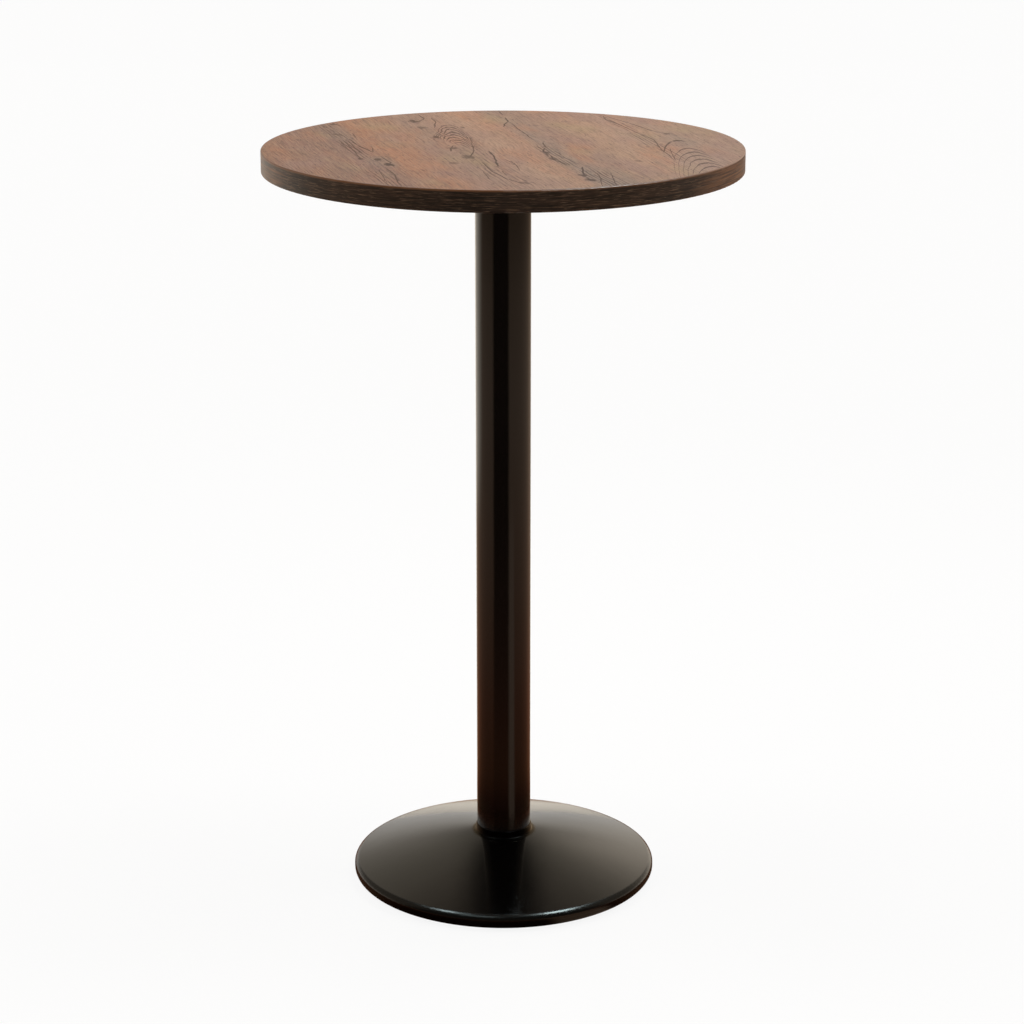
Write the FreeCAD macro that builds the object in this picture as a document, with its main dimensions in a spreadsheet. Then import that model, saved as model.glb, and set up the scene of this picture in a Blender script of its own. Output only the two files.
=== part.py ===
"""Pub table: a round wood-faced top on a single steel column and a cast-iron foot.

Everything hangs on one long tie rod.  It runs from a nut under the casting, through the
column, to a nut in the hub of the cast spider that is screwed to the underside of the top.
Four screw-in glides under the foot level the table on an uneven floor.

Frame: millimetres, +Z up, origin on the floor under the column's axis, front towards -Y.
"""
import FreeCAD, Part
import os

import Sketcher

DIMENSIONS = (
    # whole table
    ("table_height", 1100, "floor to writing surface, glides fully screwed in"),
    # round top
    ("top_diameter", 680, "over the edge band"),
    ("core_thickness", 28, "chipboard disc"),
    ("laminate_thickness", 1.2, "wood decor sheet on the face"),
    ("backing_thickness", 0.8, "balancing sheet on the underside"),
    ("band_thickness", 2, "plastic edge band"),
    ("band_rounding", 1.4, "radius of the band's two outer corners"),
    # spider under the top
    ("spider_span", 340, "tip to tip over two opposite arms"),
    ("arm_width", 32, "flat arm"),
    ("arm_thickness", 8, "flat arm"),
    ("arm_angle", 45, "turn of the first arm from +X, degrees"),
    ("web_thickness", 8, "stiffening web under each arm"),
    ("web_end_gap", 20, "thin end of the web to the inner screw of its arm"),
    ("hub_margin", 6, "hub beyond the column it sits on, all round"),
    ("hub_floor", 8, "hub below its pocket, which rests on the column"),
    ("spigot_height", 12, "centring spigot inside the column, both ends"),
    ("spigot_play", 0.3, "radial play of both spigots in the column"),
    ("pocket_play", 4.5, "room round the large washer in the hub's pocket"),
    ("pocket_end_room", 1, "rod's upper end to the underside of the top"),
    # screws that hold the spider to the top
    ("screw_diameter", 5, "thread of the chipboard screws"),
    ("screw_length", 27, "under the head"),
    ("screw_head_diameter", 10, "pan head"),
    ("screw_head_height", 3.2, "pan head"),
    ("screw_head_rounding", 1.6, "rounded rim of the pan head"),
    ("screw_inset", 18, "tip of an arm to its outer screw"),
    ("screw_spacing", 40, "between the two screws of an arm"),
    ("screw_hole_play", 0.3, "radial play of a screw in the arm and the backing"),
    ("pilot_play", 0.02, "radial play of a screw in its pilot hole"),
    ("pilot_end_room", 1.5, "pilot hole beyond the screw's tip"),
    # column
    ("column_diameter", 80, "round steel tube, outside"),
    ("column_wall", 2, "round steel tube"),
    # tie rod and its fixings
    ("rod_diameter", 12, "M12 tie rod"),
    ("rod_hole_play", 0.5, "radial play of the rod in both castings"),
    ("rod_spare_thread", 4, "rod beyond each nut"),
    ("nut_flats", 19, "M12 nut across flats"),
    ("nut_height", 10, "M12 nut"),
    ("washer_diameter", 37, "large M12 washer"),
    ("washer_thickness", 3, "large M12 washer"),
    ("washer_play", 0.5, "radial play of washers on the rod"),
    ("spring_washer_diameter", 21, "M12 spring washer"),
    ("spring_washer_thickness", 2.5, "M12 spring washer"),
    # cast foot
    ("base_diameter", 450, "over the rim"),
    ("rim_clearance", 3, "floor to the underside of the rim"),
    ("rim_height", 19, "underside of the rim to the corner where the dome starts"),
    ("rim_wall", 13, "thickness of the rim"),
    ("rim_top_rounding", 8, "upper corner of the rim"),
    ("rim_bottom_rounding", 9, "lower corner of the rim"),
    ("dome_rise", 45, "rim corner to the foot of the column seat"),
    ("dome_bulge", 2.5, "height of the dome's arc above its chord"),
    ("dome_wall", 7, "casting thickness of the dome, measured upright"),
    ("seat_margin", 1.2, "raised seat beyond the column that stands on it, all round"),
    ("seat_height", 10, "raised seat above the dome"),
    ("seat_rounding", 0.8, "upper corner of the raised seat"),
    ("seat_fillet", 2.5, "hollow between the seat and the dome"),
    ("boss_margin", 27.5, "centre boss under the dome beyond the large washer, all round"),
    ("rod_clearance", 6.5, "floor to the rod's lower end"),
    ("rib_thickness", 7, "four ribs under the dome"),
    ("rib_clearance", 12, "floor to the underside of ribs and glide bosses"),
    # glides
    ("glide_inset", 32, "inner wall of the rim to each glide's axis"),
    ("glide_boss_diameter", 30, "tapped boss in the casting"),
    ("glide_hole_end_room", 1.5, "tapped hole beyond the stud"),
    ("glide_thread_diameter", 8, "M8 stud"),
    ("glide_thread_length", 15, "stud above its hexagon"),
    ("glide_thread_play", 0.05, "radial play of the stud in its tapped hole"),
    ("glide_hex_flats", 13, "hexagon of the stud"),
    ("glide_pad_diameter", 30, "plastic pad"),
    ("glide_pad_height", 8, "plastic pad"),
    ("glide_pad_rounding", 1.5, "both rims of the pad"),
    ("glide_neck_diameter", 7, "neck of the stud inside the pad"),
    ("glide_flange_diameter", 14, "round flange that the pad holds captive"),
    ("glide_flange_thickness", 2.5, "round flange that the pad holds captive"),
    ("glide_flange_clearance", 3, "floor to the underside of the flange"),
    ("glide_pad_play", 0.08, "play between the stud and its pad"),
)

ARM_COUNT = 4
FULL_TURN = 360
GLIDE_ANGLES = {
    "front_left": 225,
    "front_right": 315,
    "back_right": 45,
    "back_left": 135,
}

doc = FreeCAD.newDocument("pub_table")
sheet = doc.addObject("Spreadsheet::Sheet", "dims")
for row, (alias, value, meaning) in enumerate(DIMENSIONS, start=1):
    sheet.set(f"A{row}", alias)
    sheet.set(f"B{row}", str(value))
    sheet.setAlias(f"B{row}", alias)
    sheet.set(f"C{row}", meaning)
doc.recompute()

sub_parts = []


# ---------------------------------------------------------------- shared ways of building
def dims(expression):
    """An expression in which a size of the sheet is written as @name."""
    return expression.replace("@", "dims.")


def number(owner, expression):
    """The present value of an expression, as a plain number."""
    value = owner.evalExpression(dims(expression))
    return float(getattr(value, "Value", value))


def bind(owner, target, expression):
    owner.setExpression(target, dims(expression))


def sub_part(owner, label):
    """Registers an object as one piece of the table, exported under its label."""
    owner.Label = label
    sub_parts.append(owner)
    return owner


def new_body(label):
    body = doc.addObject("PartDesign::Body", label)
    return sub_part(body, label)


def lift(owner, height):
    """Sets how high a piece's own zero level stands above the floor."""
    bind(owner, "Placement.Base.z", height)


def origin_part(body, role):
    """One of the planes or axes of a body's own origin."""
    return next(f for f in body.Origin.OriginFeatures if f.Role == role)


def new_sketch(body, name, role, offset=None):
    """An empty sketch on one of the body's own planes, or at an offset along its normal."""
    sketch = body.newObject("Sketcher::SketchObject", name)
    sketch.AttachmentSupport = [(origin_part(body, role), "")]
    sketch.MapMode = "FlatFace"
    if offset:
        bind(sketch, "AttachmentOffset.Base.z", offset)
    return sketch


def fix_point(sketch, geometry, end, across, up):
    """Ties one point of a sketch to two expressions, measured from the origin."""
    for kind, expression in (("DistanceX", across), ("DistanceY", up)):
        value = number(sketch, expression)
        index = sketch.addConstraint(Sketcher.Constraint(kind, -1, 1, geometry, end, value))
        bind(sketch, f"Constraints[{index}]", expression)


def outline(sketch, points, arcs=None):
    """A closed outline through (across, up) expressions.

    arcs maps the number of a side to the expression for the bulge of its arc, which stands
    out to the right of the way from the side's first point to its second.
    """
    arcs = arcs or {}
    spots = [FreeCAD.Vector(number(sketch, x), number(sketch, y), 0) for x, y in points]
    count = len(spots)
    starts = []
    for side in range(count):
        first, last = spots[side], spots[(side + 1) % count]
        if side in arcs:
            chord = last - first
            normal = FreeCAD.Vector(chord.y, -chord.x, 0).normalize()
            crown = (first + last) * 0.5 + normal * number(sketch, arcs[side])
            curve = Part.Arc(first, crown, last)
            index = sketch.addGeometry(curve, False)
            made = sketch.Geometry[index]
            starts.append(1 if made.StartPoint.distanceToPoint(first) < 1e-6 else 2)
        else:
            sketch.addGeometry(Part.LineSegment(first, last), False)
            starts.append(1)
    for side in range(count):
        after = (side + 1) % count
        end = 3 - starts[side]
        sketch.addConstraint(Sketcher.Constraint("Coincident", side, end, after, starts[after]))
        fix_point(sketch, side, starts[side], *points[side])
    for side, bulge in arcs.items():
        (x1, y1), (x2, y2) = points[side], points[(side + 1) % count]
        half_chord_squared = f"((({x2}) - ({x1}))^2 + (({y2}) - ({y1}))^2) / 4"
        radius = f"({half_chord_squared} + ({bulge})^2) / (2 * ({bulge}))"
        value = number(sketch, radius)
        index = sketch.addConstraint(Sketcher.Constraint("Radius", side, value))
        bind(sketch, f"Constraints[{index}]", radius)


def circles(sketch, spots):
    """Circles given as (across, up, diameter) expressions."""
    for x, y, diameter in spots:
        centre = FreeCAD.Vector(number(sketch, x), number(sketch, y), 0)
        width = number(sketch, diameter)
        ring = Part.Circle(centre, FreeCAD.Vector(0, 0, 1), width / 2)
        index = sketch.addGeometry(ring, False)
        fix_point(sketch, index, 3, x, y)
        size = sketch.addConstraint(Sketcher.Constraint("Diameter", index, width))
        bind(sketch, f"Constraints[{size}]", diameter)


def revolve(body, name, points, arcs=None):
    """Turns an outline of (radius, height) expressions about the body's Z axis."""
    sketch = new_sketch(body, f"{name}_outline", "XZ_Plane")
    outline(sketch, points, arcs)
    feature = body.newObject("PartDesign::Revolution", name)
    feature.Profile = sketch
    feature.ReferenceAxis = (sketch, ["V_Axis"])
    feature.Angle = FULL_TURN
    doc.recompute()
    return feature


def pad(body, name, sketch, length, reverse=False, midplane=False):
    feature = body.newObject("PartDesign::Pad", name)
    feature.Profile = sketch
    feature.Midplane = midplane
    feature.Reversed = reverse
    bind(feature, "Length", length)
    doc.recompute()
    return feature


def pocket(body, name, sketch, depth, reverse=False):
    """Cuts a sketch into the body and makes sure that the cut took something away."""
    before = body.Shape.Volume
    feature = body.newObject("PartDesign::Pocket", name)
    feature.Profile = sketch
    feature.Reversed = reverse
    bind(feature, "Length", depth)
    doc.recompute()
    if body.Shape.Volume > before * (1 - 1e-9):
        raise RuntimeError(f"{name} cuts nothing")
    return feature


def repeat_round(body, name, features, count):
    """Repeats features evenly about the body's Z axis."""
    pattern = body.newObject("PartDesign::PolarPattern", name)
    pattern.Originals = features
    pattern.Axis = (origin_part(body, "Z_Axis"), [""])
    pattern.Angle = FULL_TURN
    pattern.Occurrences = count
    body.Tip = pattern
    doc.recompute()
    return pattern


def round_edges(body, name, rings, radius):
    """Rounds the circular edges that lie at given (radius, height) pairs of expressions."""
    wanted = [(number(body, r), number(body, z)) for r, z in rings]
    below = body.Tip
    found = []
    for index, edge in enumerate(below.Shape.Edges, start=1):
        if not isinstance(edge.Curve, Part.Circle):
            continue
        height = edge.Curve.Center.z
        for r, z in wanted:
            if abs(edge.Curve.Radius - r) < 1e-4 and abs(height - z) < 1e-4:
                found.append(f"Edge{index}")
    if len(found) < len(wanted):
        raise RuntimeError(f"{name} finds {len(found)} of {len(wanted)} edges")
    feature = body.newObject("PartDesign::Fillet", name)
    feature.Base = (below, found)
    bind(feature, "Radius", radius)
    doc.recompute()
    return feature


def washer(label, outer, inner, thickness, height):
    body = new_body(label)
    points = (
        (f"{inner} / 2", "0"),
        (f"{outer} / 2", "0"),
        (f"{outer} / 2", thickness),
        (f"{inner} / 2", thickness),
    )
    revolve(body, "ring", points)
    lift(body, height)
    return body


def hexagon(sketch, flats):
    """A hexagon about the origin, given its width across flats."""
    points = []
    for corner in range(6):
        angle = 60 * corner + 30
        reach = f"{flats} / sqrt(3)"
        points.append((f"{reach} * cos({angle})", f"{reach} * sin({angle})"))
    outline(sketch, points)


# ---------------------------------------------------------------- levels that pieces share
TOP_THICKNESS = "(@core_thickness + @laminate_thickness + @backing_thickness)"
TOP_UNDERSIDE = f"(@table_height - {TOP_THICKNESS})"
CORE_RADIUS = "(@top_diameter / 2 - @band_thickness)"
POCKET_DEPTH = "(@washer_thickness + @nut_height + @rod_spare_thread + @pocket_end_room)"
HUB_HEIGHT = f"({POCKET_DEPTH} + @hub_floor)"
HUB_RADIUS = "(@column_diameter / 2 + @hub_margin)"
COLUMN_TOP = f"({TOP_UNDERSIDE} - {HUB_HEIGHT})"
OUTER_SCREW = "(@spider_span / 2 - @screw_inset)"
INNER_SCREW = f"({OUTER_SCREW} - @screw_spacing)"
SCREW_SPOTS = (INNER_SCREW, OUTER_SCREW)
RIM_CORNER = "(@rim_clearance + @rim_height)"
DOME_TOP = f"({RIM_CORNER} + @dome_rise)"
COLUMN_FOOT = f"({DOME_TOP} + @seat_height)"
COLUMN_BORE = "(@column_diameter / 2 - @column_wall)"
ROD_HOLE = "(@rod_diameter + 2 * @rod_hole_play)"
WASHER_HOLE = "(@rod_diameter + 2 * @washer_play)"
UPPER_WASHER = f"({TOP_UNDERSIDE} - {POCKET_DEPTH})"
UPPER_NUT = f"({UPPER_WASHER} + @washer_thickness)"
ROD_HEAD = f"({UPPER_NUT} + @nut_height + @rod_spare_thread)"
ROD_FOOT = "@rod_clearance"
LOWER_NUT = f"({ROD_FOOT} + @rod_spare_thread)"
LOWER_SPRING = f"({LOWER_NUT} + @nut_height)"
LOWER_WASHER = f"({LOWER_SPRING} + @spring_washer_thickness)"
BOSS_FACE = f"({LOWER_WASHER} + @washer_thickness)"
BOSS_RADIUS = "(@washer_diameter / 2 + @boss_margin)"


# ---------------------------------------------------------------- round top
def disc(label, radius, thickness, height):
    body = new_body(label)
    revolve(body, "disc", (("0", "0"), (radius, "0"), (radius, thickness), ("0", thickness)))
    lift(body, height)
    return body


def drill_for_screws(body, play, depth, offset=None):
    """Two holes along every arm of the spider, drilled upwards from a level of the body."""
    sketch = new_sketch(body, "screw_spots", "XY_Plane", offset)
    hole = f"@screw_diameter + 2 * {play}"
    circles(sketch, [(spot, "0", hole) for spot in SCREW_SPOTS])
    cut = pocket(body, "screw_holes", sketch, depth, reverse=True)
    repeat_round(body, "screw_holes_all_arms", [cut], ARM_COUNT)
    turn_to_arms(body)


def turn_to_arms(body):
    """Turns a piece so that its X axis lies along the first arm."""
    body.Placement.Rotation = FreeCAD.Rotation(FreeCAD.Vector(0, 0, 1), 0)
    bind(body, "Placement.Rotation.Angle", "@arm_angle")
    bind(body, "Placement.Rotation.Axis.z", "1")


# Chipboard disc, drilled blind from below for the spider's screws.
core = disc("top_core", CORE_RADIUS, "@core_thickness", f"{TOP_UNDERSIDE} + @backing_thickness")
PILOT_DEPTH = "@screw_length - @arm_thickness - @backing_thickness + @pilot_end_room"
drill_for_screws(core, "@pilot_play", PILOT_DEPTH)

# Decor sheet on the face and balancing sheet on the back, both glued over the whole core.
disc("top_laminate", CORE_RADIUS, "@laminate_thickness", "@table_height - @laminate_thickness")
backing = disc("backing_laminate", CORE_RADIUS, "@backing_thickness", TOP_UNDERSIDE)
drill_for_screws(backing, "@screw_hole_play", "@backing_thickness")

# Plastic band glued round the edge of core and sheets.
band = new_body("edge_band")
BAND_RADIUS = "@top_diameter / 2"
BAND_OUTLINE = (
    (CORE_RADIUS, "0"),
    (BAND_RADIUS, "0"),
    (BAND_RADIUS, TOP_THICKNESS),
    (CORE_RADIUS, TOP_THICKNESS),
)
revolve(band, "strip", BAND_OUTLINE)
BAND_CORNERS = ((BAND_RADIUS, "0"), (BAND_RADIUS, TOP_THICKNESS))
round_edges(band, "rounded_corners", BAND_CORNERS, "@band_rounding")
lift(band, TOP_UNDERSIDE)

# ---------------------------------------------------------------- cast spider under the top
# Its own zero level is the underside of the top, so the casting lies below zero.
spider = new_body("top_spider")
SPIGOT_RADIUS = f"({COLUMN_BORE} - @spigot_play)"
HUB_OUTLINE = (
    ("0", f"0 - {HUB_HEIGHT} - @spigot_height"),
    (SPIGOT_RADIUS, f"0 - {HUB_HEIGHT} - @spigot_height"),
    (SPIGOT_RADIUS, f"0 - {HUB_HEIGHT}"),
    (HUB_RADIUS, f"0 - {HUB_HEIGHT}"),
    (HUB_RADIUS, "0"),
    ("0", "0"),
)
revolve(spider, "hub", HUB_OUTLINE)

web_side = new_sketch(spider, "web_side", "XZ_Plane")
WEB_FOOT = f"0 - {HUB_HEIGHT} + @arm_thickness / 2"
WEB_TIP = f"({INNER_SCREW} - @web_end_gap)"
WEB_OUTLINE = (
    (f"{HUB_RADIUS} / 2", WEB_FOOT),
    (HUB_RADIUS, WEB_FOOT),
    (WEB_TIP, "0 - @arm_thickness"),
    (WEB_TIP, "0 - @arm_thickness / 2"),
    (f"{HUB_RADIUS} / 2", "0 - @arm_thickness / 2"),
)
outline(web_side, WEB_OUTLINE)
web = pad(spider, "web", web_side, "@web_thickness", midplane=True)

arm_face = new_sketch(spider, "arm_face", "XY_Plane")
ARM_TIP = "(@spider_span / 2 - @arm_width / 2)"
ARM_OUTLINE = (
    ("0", "0 - @arm_width / 2"),
    (ARM_TIP, "0 - @arm_width / 2"),
    (ARM_TIP, "@arm_width / 2"),
    ("0", "@arm_width / 2"),
)
outline(arm_face, ARM_OUTLINE, arcs={1: "@arm_width / 2 * 0.999"})
arm = pad(spider, "arm", arm_face, "@arm_thickness", reverse=True)
repeat_round(spider, "arms_and_webs", [web, arm], ARM_COUNT)

arm_spots = new_sketch(spider, "arm_hole_spots", "XY_Plane")
ARM_HOLE = "@screw_diameter + 2 * @screw_hole_play"
circles(arm_spots, [(spot, "0", ARM_HOLE) for spot in SCREW_SPOTS])
arm_holes = pocket(spider, "arm_holes", arm_spots, "@arm_thickness")
repeat_round(spider, "arm_holes_all_round", [arm_holes], ARM_COUNT)

rod_way = new_sketch(spider, "rod_way", "XY_Plane")
circles(rod_way, (("0", "0", ROD_HOLE),))
pocket(spider, "rod_hole", rod_way, f"{HUB_HEIGHT} + @spigot_height")
nut_room = new_sketch(spider, "nut_room", "XY_Plane")
circles(nut_room, (("0", "0", "@washer_diameter + 2 * @pocket_play"),))
pocket(spider, "nut_pocket", nut_room, POCKET_DEPTH)
turn_to_arms(spider)
lift(spider, TOP_UNDERSIDE)

# Eight pan-head chipboard screws, two through each arm.
screws = new_body("spider_screws")
shank_spots = new_sketch(screws, "shank_spots", "XY_Plane")
circles(shank_spots, [(spot, "0", "@screw_diameter") for spot in SCREW_SPOTS])
shanks = pad(screws, "shanks", shank_spots, "@screw_length")
head_spots = new_sketch(screws, "head_spots", "XY_Plane")
circles(head_spots, [(spot, "0", "@screw_head_diameter") for spot in SCREW_SPOTS])
heads = pad(screws, "heads", head_spots, "@screw_head_height", reverse=True)
repeat_round(screws, "screws_all_round", [shanks, heads], ARM_COUNT)
HEAD_RIM = (("@screw_head_diameter / 2", "0 - @screw_head_height"),)
round_edges(screws, "domed_heads", HEAD_RIM, "@screw_head_rounding")
turn_to_arms(screws)
lift(screws, f"{TOP_UNDERSIDE} - @arm_thickness")

# ---------------------------------------------------------------- column
column = new_body("column_tube")
TUBE_LENGTH = f"({COLUMN_TOP} - {COLUMN_FOOT})"
TUBE_OUTLINE = (
    (COLUMN_BORE, "0"),
    ("@column_diameter / 2", "0"),
    ("@column_diameter / 2", TUBE_LENGTH),
    (COLUMN_BORE, TUBE_LENGTH),
)
revolve(column, "tube", TUBE_OUTLINE)
lift(column, COLUMN_FOOT)

# ---------------------------------------------------------------- tie rod and its fixings
rod = new_body("tie_rod")
ROD_LENGTH = f"({ROD_HEAD} - {ROD_FOOT})"
ROD_OUTLINE = (
    ("0", "0"),
    ("@rod_diameter / 2", "0"),
    ("@rod_diameter / 2", ROD_LENGTH),
    ("0", ROD_LENGTH),
)
revolve(rod, "rod", ROD_OUTLINE)
lift(rod, ROD_FOOT)


def nut(label, height):
    """A hexagon nut whose thread is its nominal bore, so that it sits on the rod."""
    body = new_body(label)
    section = new_sketch(body, "hexagon", "XY_Plane")
    hexagon(section, "@nut_flats")
    pad(body, "block", section, "@nut_height")
    bore = new_sketch(body, "bore", "XY_Plane")
    circles(bore, (("0", "0", "@rod_diameter"),))
    pocket(body, "thread", bore, "@nut_height", reverse=True)
    lift(body, height)


nut("tie_rod_upper_nut", UPPER_NUT)
nut("tie_rod_lower_nut", LOWER_NUT)
LARGE_WASHER = ("@washer_diameter", WASHER_HOLE, "@washer_thickness")
SPRING_WASHER = ("@spring_washer_diameter", WASHER_HOLE, "@spring_washer_thickness")
washer("tie_rod_upper_washer", *LARGE_WASHER, UPPER_WASHER)
washer("tie_rod_lower_washer", *LARGE_WASHER, LOWER_WASHER)
washer("tie_rod_spring_washer", *SPRING_WASHER, LOWER_SPRING)

# ---------------------------------------------------------------- cast foot
# The outside is one turned outline: rim, dome, raised seat and centring spigot.
outside = doc.addObject("PartDesign::Body", "foot_outside")
RIM_RADIUS = "(@base_diameter / 2)"
SEAT_RADIUS = "(@column_diameter / 2 + @seat_margin)"
SPIGOT_TOP = f"({COLUMN_FOOT} + @spigot_height)"
OUTSIDE_OUTLINE = (
    ("0", "@rim_clearance"),
    (RIM_RADIUS, "@rim_clearance"),
    (RIM_RADIUS, RIM_CORNER),
    (SEAT_RADIUS, DOME_TOP),
    (SEAT_RADIUS, COLUMN_FOOT),
    (SPIGOT_RADIUS, COLUMN_FOOT),
    (SPIGOT_RADIUS, SPIGOT_TOP),
    ("0", SPIGOT_TOP),
)
revolve(outside, "turned_outside", OUTSIDE_OUTLINE, arcs={2: "@dome_bulge"})
round_edges(outside, "rim_top", ((RIM_RADIUS, RIM_CORNER),), "@rim_top_rounding")
round_edges(outside, "rim_bottom", ((RIM_RADIUS, "@rim_clearance"),), "@rim_bottom_rounding")
round_edges(outside, "seat_edge", ((SEAT_RADIUS, COLUMN_FOOT),), "@seat_rounding")
round_edges(outside, "seat_hollow", ((SEAT_RADIUS, DOME_TOP),), "@seat_fillet")

# The hollow under the dome is cast with a core: a ring that follows the dome, less the
# cross of ribs and the four glide bosses that stand in it.
hollow = doc.addObject("PartDesign::Body", "foot_hollow")
HOLLOW_RADIUS = f"({RIM_RADIUS} - @rim_wall)"
DOME_RUN = f"({RIM_RADIUS} - {SEAT_RADIUS})"
DOME_SLOPE = f"(@dome_rise / {DOME_RUN})"


def under_dome(radius):
    """Height of the dome's underside where its chord passes a radius."""
    return f"({RIM_CORNER} + ({RIM_RADIUS} - {radius}) * {DOME_SLOPE} - @dome_wall)"


BELOW = "0"
HOLLOW_OUTLINE = (
    (BOSS_RADIUS, BELOW),
    (HOLLOW_RADIUS, BELOW),
    (HOLLOW_RADIUS, under_dome(HOLLOW_RADIUS)),
    (BOSS_RADIUS, under_dome(BOSS_RADIUS)),
)
revolve(hollow, "ring_under_dome", HOLLOW_OUTLINE, arcs={2: "@dome_bulge"})

rib_face = new_sketch(hollow, "rib_face", "XY_Plane", "@rib_clearance")
RIB_OUTLINE = (
    ("0", "0 - @rib_thickness / 2"),
    (RIM_RADIUS, "0 - @rib_thickness / 2"),
    (RIM_RADIUS, "@rib_thickness / 2"),
    ("0", "@rib_thickness / 2"),
)
outline(rib_face, RIB_OUTLINE)
rib = pocket(hollow, "rib", rib_face, COLUMN_FOOT, reverse=True)
boss_face = new_sketch(hollow, "boss_face", "XY_Plane", "@rib_clearance")
GLIDE_CIRCLE = f"({HOLLOW_RADIUS} - @glide_inset)"
circles(boss_face, ((GLIDE_CIRCLE, "0", "@glide_boss_diameter"),))
boss = pocket(hollow, "glide_boss", boss_face, COLUMN_FOOT, reverse=True)
repeat_round(hollow, "ribs_and_bosses", [rib, boss], ARM_COUNT)
hollow.Placement.Rotation = FreeCAD.Rotation(FreeCAD.Vector(0, 0, 1), GLIDE_ANGLES["back_right"])

# What is machined from below: the face of the centre boss, the rod hole and the tapped holes.
machining = []


def drill(name, diameter, bottom, top, across="0", along="0"):
    tool = doc.addObject("Part::Cylinder", name)
    bind(tool, "Radius", f"{diameter} / 2")
    bind(tool, "Height", f"{top} - {bottom}")
    bind(tool, "Placement.Base.x", across)
    bind(tool, "Placement.Base.y", along)
    bind(tool, "Placement.Base.z", bottom)
    machining.append(tool)


def glide_place(angle):
    """The (x, y) expressions of the glide at an angle about the table's axis."""
    return f"{GLIDE_CIRCLE} * cos({angle})", f"{GLIDE_CIRCLE} * sin({angle})"


drill("centre_face", f"2 * {BOSS_RADIUS}", BELOW, BOSS_FACE)
drill("foot_rod_hole", ROD_HOLE, BELOW, f"({SPIGOT_TOP} + @spigot_height)")
for place, angle in GLIDE_ANGLES.items():
    x, y = glide_place(angle)
    top = "(@rib_clearance + @glide_thread_length + @glide_hole_end_room)"
    hole = "(@glide_thread_diameter + 2 * @glide_thread_play)"
    drill(f"tapped_hole_{place}", hole, "@rib_clearance", top, x, y)

cuts = doc.addObject("Part::MultiFuse", "foot_cuts")
cuts.Shapes = [hollow, *machining]
foot = doc.addObject("Part::Cut", "base_casting")
foot.Base = outside
foot.Tool = cuts
doc.recompute()
sub_part(foot, "base_casting")


# ---------------------------------------------------------------- glides
def glide_stud(place, angle):
    """Steel stud: thread, hexagon, neck, and the flange that its pad holds captive."""
    body = new_body(f"glide_stud_{place}")
    flange_top = "(@glide_flange_clearance + @glide_flange_thickness)"
    stem = (
        ("0", "@glide_flange_clearance"),
        ("@glide_flange_diameter / 2", "@glide_flange_clearance"),
        ("@glide_flange_diameter / 2", flange_top),
        ("@glide_neck_diameter / 2", flange_top),
        ("@glide_neck_diameter / 2", "@glide_pad_height"),
        ("@glide_thread_diameter / 2", "@glide_pad_height"),
        ("@glide_thread_diameter / 2", "@rib_clearance + @glide_thread_length"),
        ("0", "@rib_clearance + @glide_thread_length"),
    )
    revolve(body, "turned_stem", stem)
    section = new_sketch(body, "hexagon", "XY_Plane", "@glide_pad_height + @glide_pad_play")
    hexagon(section, "@glide_hex_flats")
    depth = "@rib_clearance - @glide_pad_height - @glide_pad_play"
    pad(body, "hexagon_block", section, depth)
    x, y = glide_place(angle)
    bind(body, "Placement.Base.x", x)
    bind(body, "Placement.Base.y", y)


def glide_pad(place, angle):
    """Plastic pad moulded round the stud's flange, which still turns in it."""
    body = new_body(f"glide_pad_{place}")
    neck = "(@glide_neck_diameter / 2 + @glide_pad_play)"
    cavity = "(@glide_flange_diameter / 2 + @glide_pad_play)"
    ceiling = "(@glide_flange_clearance + @glide_flange_thickness + @glide_pad_play)"
    shell = (
        ("0", "0"),
        ("@glide_pad_diameter / 2", "0"),
        ("@glide_pad_diameter / 2", "@glide_pad_height"),
        (neck, "@glide_pad_height"),
        (neck, ceiling),
        (cavity, ceiling),
        (cavity, "@glide_flange_clearance"),
        ("0", "@glide_flange_clearance"),
    )
    revolve(body, "moulding", shell)
    rims = (("@glide_pad_diameter / 2", "0"), ("@glide_pad_diameter / 2", "@glide_pad_height"))
    round_edges(body, "rounded_rims", rims, "@glide_pad_rounding")
    x, y = glide_place(angle)
    bind(body, "Placement.Base.x", x)
    bind(body, "Placement.Base.y", y)


for place, angle in GLIDE_ANGLES.items():
    glide_stud(place, angle)
    glide_pad(place, angle)

# ---------------------------------------------------------------- checks and export
doc.recompute()
for owner in doc.Objects:
    if "Invalid" in owner.State or "Error" in owner.State:
        raise RuntimeError(f"{owner.Label} failed: {owner.State}")
os.makedirs("parts", exist_ok=True)
for owner in sub_parts:
    shape = owner.Shape
    if shape.isNull() or not shape.isValid() or not shape.Solids:
        raise RuntimeError(f"{owner.Label} has no valid solid")
for owner in sub_parts:
    owner.Shape.exportStep(f"parts/{owner.Label}.step")
    box = owner.Shape.BoundBox
    print(
        f"{owner.Label}: {len(owner.Shape.Solids)} solid(s), {owner.Shape.Volume / 1000:.1f} cm3,"
        f" z {box.ZMin:.2f} to {box.ZMax:.2f}, width {box.XLength:.2f}"
    )
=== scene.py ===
"""The finish of the pub table: its materials, threads, screw heads, wood figure and studio.

The pieces come in the order in which the table is put together, from the floor up, and the
studio comes last.  Lengths are in metres, +Z is up and the front of the table faces -Y.
"""

import math

import bmesh
import bpy
from mathutils import Matrix, Vector


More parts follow.
